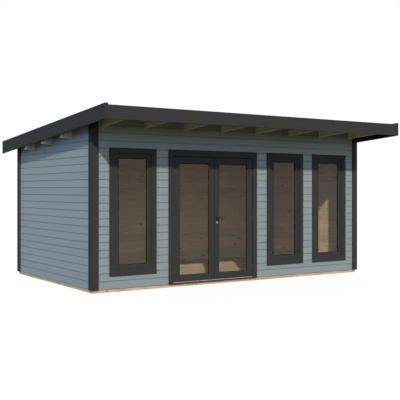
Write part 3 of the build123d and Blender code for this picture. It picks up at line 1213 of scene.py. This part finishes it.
@dataclass
class Glazing:
    """A pane's surround: four bars, sloped beads on both faces and a seal against the pane."""

    paint: Palette
    bead: float = 0.009
    bead_back: float = 0.0006
    seal_width: float = 0.0035
    seal_slope: float = 0.001
    seal_proud: float = 0.0085
    edge: float = 0.0015

    def bar(self, corner: Place, other: Place, along: Axis) -> Solid:
        """One planed and painted bar between two opposite corners, with its grain along one direction."""
        return Solid.block("bar", corner, other).ease(self.edge).dress(self.paint.trim[along])

    def four_bars(self, low: Place, high: Place, hole_low: Place, hole_high: Place) -> list[Solid]:
        """Two stiles from end to end and two rails between them.

        Args:
            low: Lowest corner of the outside.
            high: Highest corner of the outside.
            hole_low: Lowest corner of the opening.
            hole_high: Highest corner of the opening.

        Returns:
            The bars.
        """
        (left, front, foot), (right, back, top) = low, high
        (inner_left, _, sill), (inner_right, _, head) = hole_low, hole_high
        return [
            self.bar((left, front, foot), (inner_left, back, top), Axis.Z),
            self.bar((inner_right, front, foot), (right, back, top), Axis.Z),
            self.bar((inner_left, front, foot), (inner_right, back, sill), Axis.X),
            self.bar((inner_left, front, head), (inner_right, back, top), Axis.X),
        ]

    def around(self, low: Place, high: Place, sight_low: Place, sight_high: Place, pane: str) -> list[Solid]:
        """Everything that holds one pane, which gets its glass here.

        Args:
            low: Lowest corner of the bars.
            high: Highest corner of the bars.
            sight_low: Lowest corner of the clear sight.
            sight_high: Highest corner of the clear sight.
            pane: The pane's node.

        Returns:
            Bars, beads and seals.
        """
        wide = Vector((self.bead, 0.0, self.bead))
        hole = Vector(sight_low) - wide, Vector(sight_high) + wide
        parts = self.four_bars(low, high, *hole)
        near, far = (corner.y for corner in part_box(pane))
        bead_reach = low[1] + self.bead_back, high[1] - self.bead_back
        seal_reach = near - self.seal_proud, far + self.seal_proud
        sight, trim = (sight_low, sight_high), self.paint.trim[Axis.Z]
        for name, (first, last), (front, back), width, slope, finish in (
            ("bead", hole, bead_reach, self.bead, self.bead, trim),
            ("seal", sight, seal_reach, self.seal_width, self.seal_slope, self.paint.seal),
        ):
            for y0, y1, out in ((front, near, -1.0), (far, back, 1.0)):
                ends = (first[0], y0, first[2]), (last[0], y1, last[2])
                parts.append(ring(name, *ends, width, slope, out).dress(finish))
        Solid(FRAME["nodes"][pane]).dress(self.paint.pane)
        return parts


@dataclass
class Windows:
    """The three tall fixed windows."""

    paint: Palette
    casing_width: float = 0.082
    sash_face: float = 0.112

    def build(self) -> None:
        """Builds casings, sashes and panes."""
        glazing = Glazing(self.paint)
        wide, face = (Vector((width, 0.0, width)) for width in (self.casing_width, self.sash_face))
        for number in (1, 2, 3):
            casing, sash = f"window_{number}_casing", f"window_{number}_sash"
            low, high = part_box(casing)
            boards = glazing.four_bars(low, high, low + wide, high - wide)
            Solid.joined(f"{casing}_boards", boards).hand_over(Body.HOUSE, Slot.TRIM, casing)
            low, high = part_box(sash)
            parts = glazing.around(low, high, low + face, high - face, f"window_{number}_glass")
            Solid.joined(f"{sash}_bars", parts).hand_over(Body.HOUSE, Slot.TRIM, sash)


@dataclass
class DoorSurround:
    """Casing, rebated frame, sill and its metal strip."""

    paint: Palette
    casing_width: float = 0.082
    head_width: float = 0.098
    edge: float = 0.002
    strip_edge: float = 0.003
    rib_pitch: float = 0.008
    rib_half: float = 0.0014
    rib_depth: float = 0.0012

    def casing(self) -> None:
        """Two upright boards and a head between them."""
        glazing = Glazing(self.paint)
        low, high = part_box("door_casing")
        left, right = low.x + self.casing_width, high.x - self.casing_width
        boards = [
            glazing.bar(low, (left, high.y, high.z), Axis.Z),
            glazing.bar((right, low.y, low.z), high, Axis.Z),
            glazing.bar((left, low.y, high.z - self.head_width), (right, high.y, high.z), Axis.X),
        ]
        Solid.joined("door_casing_boards", boards).hand_over(Body.HOUSE, Slot.TRIM, "door_casing")

    def frame(self) -> None:
        """The rebated frame and the sill, with rounded edges."""
        for name, node, along in (
            ("door_frame_posts", "door_frame", Axis.Z),
            ("door_sill_board", "door_sill", Axis.X),
        ):
            piece = Solid.eased(name, node, self.edge, self.paint.trim[along])
            piece.hand_over(Body.HOUSE, Slot.TRIM, node)

    def strip(self) -> None:
        """The metal strip on the sill, ribbed along its length."""
        low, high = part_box("door_sill_strip")
        strip = Solid.block("door_sill_ribbed_strip", low, high)

        def on_top(point: Vector) -> bool:
            """Whether a point lies on the strip's top."""
            return point.z > high.z - NEAR

        front = low.y + NEAR
        strip.bevel(self.strip_edge, lambda a, b: on_top(a) and on_top(b) and max(a.y, b.y) < front)
        count = int((high.y - low.y) / self.rib_pitch)
        lines = [low.y + self.rib_pitch * k for k in range(1, count)]
        strip.score(lines, Axis.Y).groove(lines, Axis.Y, on_top, (0.0, 0.0, -self.rib_depth), self.rib_half)
        strip.dress(self.paint.aluminium).hand_over(Body.HOUSE, Slot.ALUMINIUM, "door_sill_strip")

    def build(self) -> None:
        """Builds what the leaves close against."""
        self.casing()
        self.frame()
        self.strip()


@dataclass
class DoorLeaf:
    """One glazed leaf of the double door."""

    paint: Palette
    body: Body
    hinge_stile: float = 0.106
    meeting_stile: float = 0.092
    top_rail: float = 0.105
    bottom_rail: float = 0.100

    def build(self) -> None:
        """Builds bars, beads, seals and pane."""
        side = self.body.value.split("_")[0]
        node = f"{side}_door_leaf"
        low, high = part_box(node)
        stiles = (self.hinge_stile, self.meeting_stile)
        left, right = stiles if self.body is Body.LEFT_LEAF else stiles[::-1]
        sight_low = (low.x + left, low.y, low.z + self.bottom_rail)
        sight_high = (high.x - right, high.y, high.z - self.top_rail)
        parts = Glazing(self.paint).around(low, high, sight_low, sight_high, f"{side}_door_glass")
        Solid.joined(f"{node}_bars", parts).hand_over(self.body, Slot.TRIM, node)


@dataclass
class Ironwork:
    """Hinges with their screws, lever handles and lock ends."""

    paint: Palette
    handle_x: float = -0.451
    handle_z: float = 1.045
    rose_radius: float = 0.026
    rose_sides: int = 40
    rose_thickness: float = 0.007
    rose_chamfer: float = 0.0025
    rose_taper: float = 0.9
    rose_edge: float = 0.0006
    lever_radius: float = 0.009
    lever_sides: int = 20
    lever_length: float = 0.118
    lever_tip: float = 0.004
    tip_taper: float = 0.72
    stand_off: float = 0.048
    bend: float = 0.020
    bend_steps: int = 10
    lock_drop: float = 0.072
    collar_radius: float = 0.017
    collar_sides: int = 36
    collar_thickness: float = 0.006
    collar_chamfer: float = 0.002
    collar_taper: float = 0.88
    cylinder_radius: float = 0.0085
    cylinder_proud: float = 0.004
    cylinder_rim: float = 0.0012
    keyway_half: Place = (0.0011, 0.003, 0.0055)
    screw_radius: float = 0.0036
    screw_sides: int = 12
    screw_proud: float = 0.0004
    screw_taper: float = 0.86
    drive_inset: float = 0.45
    drive_slope: float = 0.08
    drive_depth: float = 0.0006
    screw_inset: float = 0.011
    screw_heights: tuple[float, ...] = (0.009, 0.027)
    wing_thickness: float = 0.003
    hinge_heights: tuple[float, ...] = (0.226, 1.039, 1.752)
    round_angle: float = 40.0

    def screws(self, x: float, y: float) -> Solid:
        """Screw heads with a round recess in the three wings of a leaf, modelled once and copied.

        Args:
            x: Where they are from left to right.
            y: The face that they lie in.

        Returns:
            The heads.
        """
        head = Solid.disc("screw", (0.0, 0.0, 0.0), self.screw_radius, self.screw_sides)
        head.extrude([0], (0.0, -self.screw_proud, 0.0), self.screw_taper)
        head.inset(head.selected(), self.screw_radius * self.drive_inset)
        head.inset(head.selected(), self.screw_radius * self.drive_slope, -self.drive_depth).outward()
        heights = [foot + step for foot in self.hinge_heights for step in self.screw_heights]
        heads = [head.copy("screw", (x, y, z)) for z in heights]
        bpy.data.objects.remove(head.obj)
        return Solid.joined("screws", heads).dress(self.paint.coated)

    def hinges(self) -> None:
        """Hinge halves with round barrels, and two screws in each leaf's wing."""
        for node, body in (
            ("frame_hinges", Body.HOUSE),
            ("left_door_hinges", Body.LEFT_LEAF),
            ("right_door_hinges", Body.RIGHT_LEAF),
        ):
            name = f"{node}_ironwork"
            parts = [Solid.from_node(name, node).smooth().dress(self.paint.coated)]
            if body is not Body.HOUSE:
                low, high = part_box(node)
                x = high.x - self.screw_inset if body is Body.LEFT_LEAF else low.x + self.screw_inset
                parts.append(self.screws(x, high.y - self.wing_thickness))
            Solid.joined(name, parts).hand_over(body, Slot.HANDLE, node)

    def turned(self, name: str, at: Place, radius: float, sides: int, out: float, *steps: Pair) -> Solid:
        """A round piece that grows out of one face of the leaf.

        Args:
            name: The object's name.
            at: The middle of its foot.
            radius: The foot's radius.
            sides: How many faces go round it.
            out: -1 for the outer face, 1 for the inner one.
            *steps: How far each length reaches, and the factor on its end's size.

        Returns:
            The piece, with its end left selected.
        """
        piece = Solid.disc(name, at, radius, sides)
        chosen = [0]
        for length, taper in steps:
            chosen = piece.extrude(chosen, (0.0, out * length, 0.0), taper).selected()
        return piece

    def lever(self, face_y: float, out: float) -> Solid:
        """A rose and a bent lever on one face of the leaf.

        Args:
            face_y: The leaf's face.
            out: -1 for the outer face, 1 for the inner one.

        Returns:
            The handle.
        """
        at = (self.handle_x, face_y, self.handle_z)
        straight = (self.rose_thickness - self.rose_chamfer, 1.0)
        chamfer = (self.rose_chamfer, self.rose_taper)
        rose = self.turned("rose", at, self.rose_radius, self.rose_sides, out, straight, chamfer)
        rose.outward().ease(self.rose_edge).dress(self.paint.black)
        length = self.stand_off - self.bend
        neck = self.turned("lever", at, self.lever_radius, self.lever_sides, out, (length, 1.0))
        turn = (self.handle_x + self.bend, face_y + out * length, self.handle_z)
        neck.spin(neck.selected(), out * math.pi / 2, turn, Axis.Z.unit, self.bend_steps)
        neck.extrude(neck.selected(), (self.lever_length - self.bend - self.lever_tip, 0.0, 0.0))
        neck.extrude(neck.selected(), (self.lever_tip, 0.0, 0.0), self.tip_taper)
        neck.outward().dress(self.paint.dark)
        return Solid.joined("lever", [rose, neck]).smooth(self.round_angle)

    def lock(self, face_y: float, out: float) -> Solid:
        """A collar, a cylinder end and its keyway on one face of the leaf.

        Args:
            face_y: The leaf's face.
            out: -1 for the outer face, 1 for the inner one.

        Returns:
            The lock end.
        """
        at = Vector((self.handle_x, face_y, self.handle_z - self.lock_drop))
        straight = (self.collar_thickness - self.collar_chamfer, 1.0)
        chamfer = (self.collar_chamfer, self.collar_taper)
        lock = self.turned("lock", at, self.collar_radius, self.collar_sides, out, straight, chamfer)
        lock.inset(lock.selected(), self.collar_radius * self.collar_taper - self.cylinder_radius)
        lock.extrude(lock.selected(), (0.0, out * self.cylinder_proud, 0.0))
        lock.inset(lock.selected(), self.cylinder_rim).outward()
        tip = at + Axis.Y.unit * out * (self.collar_thickness + self.cylinder_proud)
        half = Vector(self.keyway_half)
        lock.minus(Solid.block("keyway", tip - half, tip + half))
        return lock.smooth(self.round_angle).dress(self.paint.bright)

    def build(self) -> None:
        """Builds hinges, handles and lock."""
        self.hinges()
        low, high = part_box("right_door_leaf")
        faces = ((low.y, -1.0), (high.y, 1.0))
        levers = Solid.joined("lever_handles", [self.lever(*face) for face in faces])
        levers.hand_over(Body.RIGHT_LEAF, Slot.HANDLE, "door_handles")
        locks = Solid.joined("lock_ends", [self.lock(*face) for face in faces])
        locks.hand_over(Body.RIGHT_LEAF, Slot.STEEL, "door_locks")


@dataclass
class Roof:
    """Rafters, purlins, blocking, boarded deck, felt, edge boards and edge strips."""

    paint: Palette
    slope: RoofSlope
    deck_pitch: float = DECK_BOARD
    deck_joint_half: float = 0.003
    deck_joint_depth: float = 0.003
    deck_near: float = 1e-4
    felt_sheets: int = 5
    felt_lap: float = 0.09
    felt_fold: float = 0.003
    felt_drop: float = 0.030
    blocking_thickness: float = 0.044
    timber_edge: float = 0.003
    board_edge: float = 0.0025

    def timbers(self) -> None:
        """Rafters with sawn ends, and purlins whose ends are painted dark, which is also painted shade for
        the verge's shadow on them.
        """
        for node, along, wood, end in (
            ("rafters", Axis.Y, self.paint.rafter, self.paint.rafter_end),
            # The purlins' ends take the dark trim paint: a painted end, and painted shade where the verge
            # shades them.
            ("purlins", Axis.X, self.paint.purlin, self.paint.trim[Axis.Z]),
        ):
            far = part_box(node)[1][along.value] - self.timber_edge
            piece = Solid.eased(f"{node}_timber", node, self.timber_edge, wood)
            piece.line(end, lambda p, i=along.value, far=far: abs(p[i]) > far)
            piece.hand_over(Body.HOUSE, Slot.NATURAL, node)

    def blocking(self) -> None:
        """The boards that close the walls between the timbers, painted outside and bare inside."""
        for node, through, run in (("eave_blocking", Axis.Y, Axis.X), ("side_blocking", Axis.X, Axis.Y)):
            axis = through.value
            low, high = (corner[axis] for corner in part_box(node))
            half, middle = (high - low - self.blocking_thickness) / 2, (high + low) / 2
            boards = Solid.eased(f"{node}_boards", node, self.board_edge, self.paint.wall[run])
            boards.line(self.paint.inner[run], lambda p, i=axis, at=middle, half=half: abs(p[i] - at) < half)
            boards.hand_over(Body.HOUSE, Slot.WALL, node)

    def deck(self) -> None:
        """Deck boards with a V joint on their undersides."""
        low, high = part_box("roof_deck")
        lines = joints(low.y, high.y, self.deck_pitch)

        def under(point: Vector) -> bool:
            """Whether a point lies on the deck's underside."""
            return abs(point.z - self.slope.height(point.y, self.slope.deck_bottom)) < self.deck_near

        boards = Solid.from_node("roof_deck_boards", "roof_deck").score(lines, Axis.Y)
        boards.groove(lines, Axis.Y, under, (0.0, 0.0, self.deck_joint_depth), self.deck_joint_half)
        boards.dress(self.paint.deck).hand_over(Body.HOUSE, Slot.NATURAL, "roof_deck")

    def felt(self) -> None:
        """Sheets of felt, each lapped over the one below it, the lowest folded down over the deck's edge."""
        low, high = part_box("roof_covering")
        step = (high.y - low.y) / self.felt_sheets
        sheets = []
        for number in range(self.felt_sheets):
            sheet = Solid.from_node("felt", "roof_covering")
            front, back = low.y + step * number, low.y + step * (number + 1) + self.felt_lap
            if number > 0:
                sheet.cut((0.0, front, 0.0), (0.0, -1.0, 0.0))
            if number < self.felt_sheets - 1:
                sheet.cut((0.0, back, 0.0), (0.0, 1.0, 0.0))
                sheet.shift((0.0, 0.0, self.slope.deck_top), lambda p, edge=back: p.y > edge - NEAR)
            sheets.append(sheet)
        top, foot = (self.slope.height(high.y, depth) for depth in (0.0, self.felt_drop))
        fold = Solid.block("fold", (low.x, high.y, foot), (high.x, high.y + self.felt_fold, top))
        sheets.append(fold.ease(self.felt_fold / 3))
        for sheet in sheets:
            sheet.dress(self.paint.felt)
        Solid.joined("roof_felt_sheets", sheets).hand_over(Body.HOUSE, Slot.ROOFING, "roof_covering")

    def edges(self) -> None:
        """Fascia and verge boards and the strips on their tops."""
        for node, along in (
            ("front_fascia", Axis.X),
            ("back_fascia", Axis.X),
            ("verge_boards", Axis.Y),
            ("roof_edge_strips", Axis.Y),
        ):
            piece = Solid.eased(f"{node}_painted", node, self.board_edge, self.paint.trim[along])
            piece.hand_over(Body.HOUSE, Slot.TRIM, node)

    def build(self) -> None:
        """Builds the roof."""
        self.timbers()
        self.blocking()
        self.deck()
        self.felt()
        self.edges()


# Studio


@dataclass
class Studio:
    """Camera, sun-like key, sky fill and a pale floor that keeps the shadow."""

    eye: Place = (-7.190, -11.0605, 1.495)
    turn: float = -33.2252
    lens: float = 67.12
    sensor: float = 36.0
    shift_y: float = -0.0256
    sight: float = 1000.0
    sun_place: Place = (-5.0, -8.0, 6.0)
    sun_way: Place = (0.61, 1.0, -0.75)
    sun_strength: float = 2.8
    sun_colour: Colour = (1.0, 0.946, 0.818)
    sun_angle: float = 1.6
    low_sky: Colour = (1.32, 1.42, 1.33)
    left_sky: Colour = (0.77, 1.27, 1.80)
    high_sky: Colour = (0.20, 0.30, 0.50)
    left_reach: Pair = (-0.2, -0.8)
    high_reach: Pair = (0.05, 0.75)
    floor_size: float = 400.0

    def camera(self) -> None:
        """A level camera at the photograph's place."""
        bpy.ops.object.camera_add(location=self.eye, rotation=(math.pi / 2, 0.0, math.radians(self.turn)))
        camera = bpy.context.active_object
        camera.data.lens = self.lens
        camera.data.sensor_width = self.sensor
        camera.data.shift_y = self.shift_y
        camera.data.clip_end = self.sight
        bpy.context.scene.camera = camera

    def key(self) -> None:
        """One sun from the front left."""
        bpy.ops.object.light_add(type="SUN", location=self.sun_place)
        sun = bpy.context.active_object
        sun.rotation_euler = Vector(self.sun_way).to_track_quat("-Z", "Y").to_euler()
        sun.data.energy = self.sun_strength
        sun.data.color = self.sun_colour
        sun.data.angle = math.radians(self.sun_angle)

    def sky(self) -> None:
        """A soft fill, brighter low down and bluer from the left, and white where it is looked at."""
        world = bpy.data.worlds.new("studio")
        world.use_nodes = True
        bpy.context.scene.world = world
        g = Graph(world.node_tree)
        way = g.node("ShaderNodeTexCoord", out="Generated")
        side, up = (g.part(way, number) for number in (0, 2))
        low = g.mix(side.fade(*self.left_reach), self.low_sky, self.left_sky)
        light = g.mix(up.fade(*self.high_reach), low, self.high_sky)
        fill, white = (g.node("ShaderNodeBackground", {}, {"Color": colour}) for colour in (light, WHITE))
        shader = g.node("ShaderNodeMixShader", {}, {0: g.seen(), 1: fill, 2: white})
        g.show(shader, "ShaderNodeOutputWorld")

    def floor(self) -> None:
        """A wide pale floor."""
        bpy.ops.object.select_all(action="DESELECT")
        bpy.ops.mesh.primitive_plane_add(size=self.floor_size)
        plane = bpy.context.active_object
        plane.name = "studio_floor"
        plane.data.materials.append(StudioFloor("studio_floor").make())

    def build(self) -> None:
        """Sets the studio up."""
        self.camera()
        self.key()
        self.sky()
        self.floor()
        bpy.context.scene.view_settings.view_transform = "Standard"


def main() -> None:
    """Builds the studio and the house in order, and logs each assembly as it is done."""
    logging.basicConfig(level=logging.INFO, format="%(name)s: %(message)s")
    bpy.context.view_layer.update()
    Studio().build()
    paint, slope = Palette(), RoofSlope()
    for assembly in (
        Base(paint),
        PlankWalls(paint, slope),
        CornerBoards(paint, slope),
        Windows(paint),
        DoorSurround(paint),
        DoorLeaf(paint, Body.LEFT_LEAF),
        DoorLeaf(paint, Body.RIGHT_LEAF),
        Ironwork(paint),
        Roof(paint, slope),
    ):
        assembly.build()
        LOG.info("%s done", type(assembly).__name__)


if __name__ == "__main__":
    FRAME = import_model()
    main()
